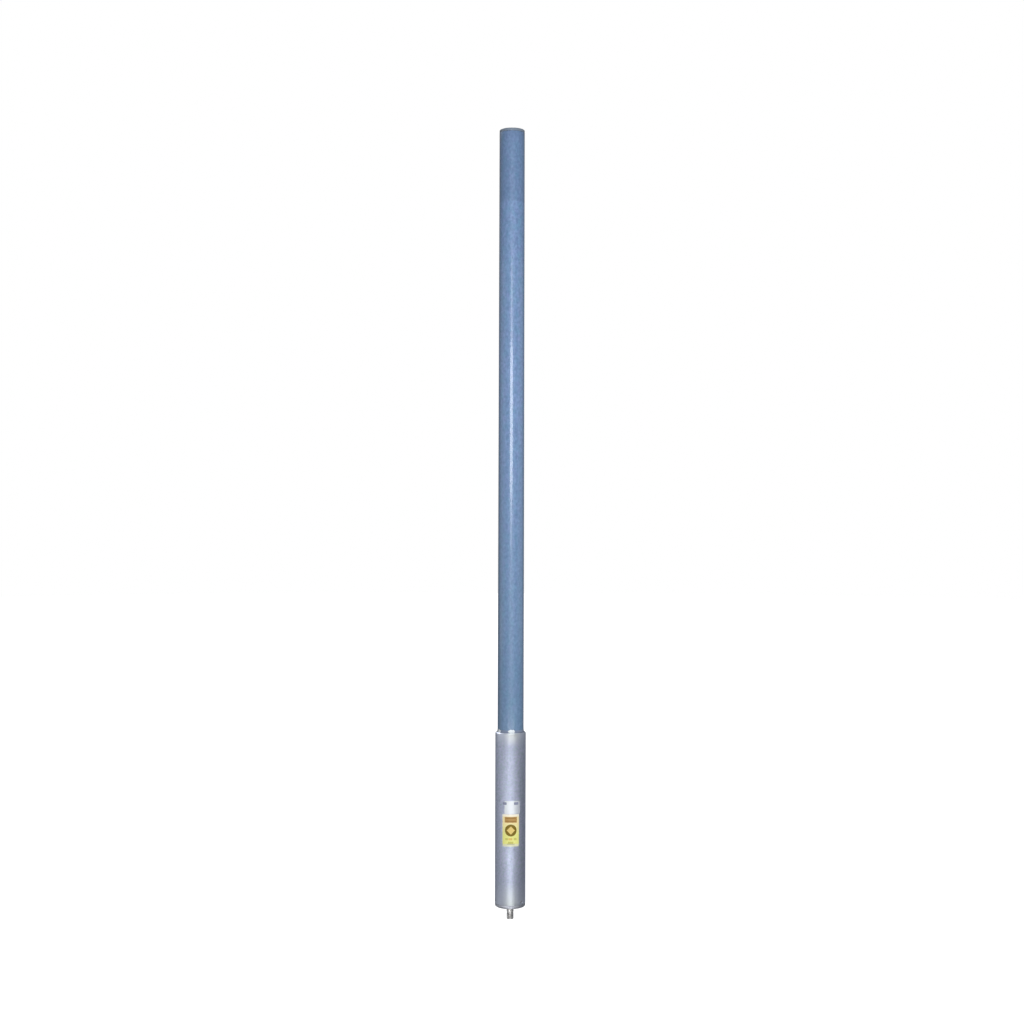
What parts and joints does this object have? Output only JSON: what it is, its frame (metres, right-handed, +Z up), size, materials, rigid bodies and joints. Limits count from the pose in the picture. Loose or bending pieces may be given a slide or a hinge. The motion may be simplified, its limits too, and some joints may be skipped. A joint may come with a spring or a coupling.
{
  "type": "omnidirectional antenna",
  "caption": "Tall slim base-station omni antenna: blue tapered fibreglass radome in a satin aluminium mounting sleeve, with an N jack in its base.",
  "frame": {"origin": "on the antenna's axis, at the flat underside of the base plug", "axes": "+Z up along the antenna's axis, from the base plug to the top cap; -Y is the side that carries the labels"},
  "size_m": [0.0698, 0.0702, 1.8001],
  "materials": {
    "radome_gelcoat": "satin gelcoat over glass fibre, pale slate blue",
    "cap_plastic": "matt dark blue-grey moulded plastic",
    "sleeve_aluminium": "satin drawn tube, fine marks along the axis",
    "plug_aluminium": "turned, satin",
    "sealant": "pale epoxy fillet, slightly uneven",
    "nickel_plate": "bright nickel plate over brass",
    "stainless_steel": "plain stainless steel",
    "gold_plate": "gold plate, polished",
    "ptfe": "waxy white, slightly translucent look",
    "polyethylene": "natural polyethylene, milky",
    "acetal": "black, machined",
    "brass": "drawn tube, lightly tarnished",
    "copper": "drawn copper, lightly tarnished",
    "foam": "closed-cell foam, off-white",
    "rubber": "black O-ring rubber",
    "nameplate_film": null,
    "caution_film": "pale yellow polyester label with a brown bar and a plain round sign, no lettering"
  },
  "bodies": {
    "root": {"radome": "radome_gelcoat", "radome_top_cap": "cap_plastic", "mounting_sleeve": "sleeve_aluminium", "weather_seal": "sealant", "base_plug": "plug_aluminium", "sleeve_set_screw_1": "stainless_steel", "sleeve_set_screw_2": "stainless_steel", "sleeve_set_screw_3": "stainless_steel", "n_jack_body": "nickel_plate", "n_jack_insulator": "ptfe", "n_jack_centre_contact": "gold_plate", "n_jack_gasket": "rubber", "n_jack_washer": "stainless_steel", "n_jack_nut": "nickel_plate", "feed_line_shield": "copper", "feed_line_dielectric": "ptfe", "feed_line_core": "copper", "feed_line_ferrule": "brass", "bonding_strap": "copper", "bonding_screw": "stainless_steel", "bonding_band": "stainless_steel", "decoupling_skirt_lower": "brass", "decoupling_skirt_upper": "brass", "skirt_spacer_lower": "ptfe", "skirt_spacer_upper": "ptfe", "section_1_tube": "brass", "section_1_dielectric": "polyethylene", "section_1_rod": "copper", "crossover_1_a": "copper", "crossover_1_b": "copper", "junction_collar_1": "acetal", "section_2_tube": "brass", "section_2_dielectric": "polyethylene", "section_2_rod": "copper", "crossover_2_a": "copper", "crossover_2_b": "copper", "junction_collar_2": "acetal", "section_3_tube": "brass", "section_3_dielectric": "polyethylene", "section_3_rod": "copper", "crossover_3_a": "copper", "crossover_3_b": "copper", "junction_collar_3": "acetal", "section_4_tube": "brass", "section_4_dielectric": "polyethylene", "section_4_rod": "copper", "crossover_4_a": "copper", "crossover_4_b": "copper", "junction_collar_4": "acetal", "top_whip": "brass", "whip_holder": "acetal", "foam_disc_1": "foam", "foam_disc_2": "foam", "foam_disc_3": "foam", "foam_disc_4": "foam", "foam_disc_5": "foam", "foam_disc_6": "foam", "foam_disc_7": "foam", "nameplate_label": "nameplate_film", "caution_label": "caution_film"}
  },
  "joints": []
}
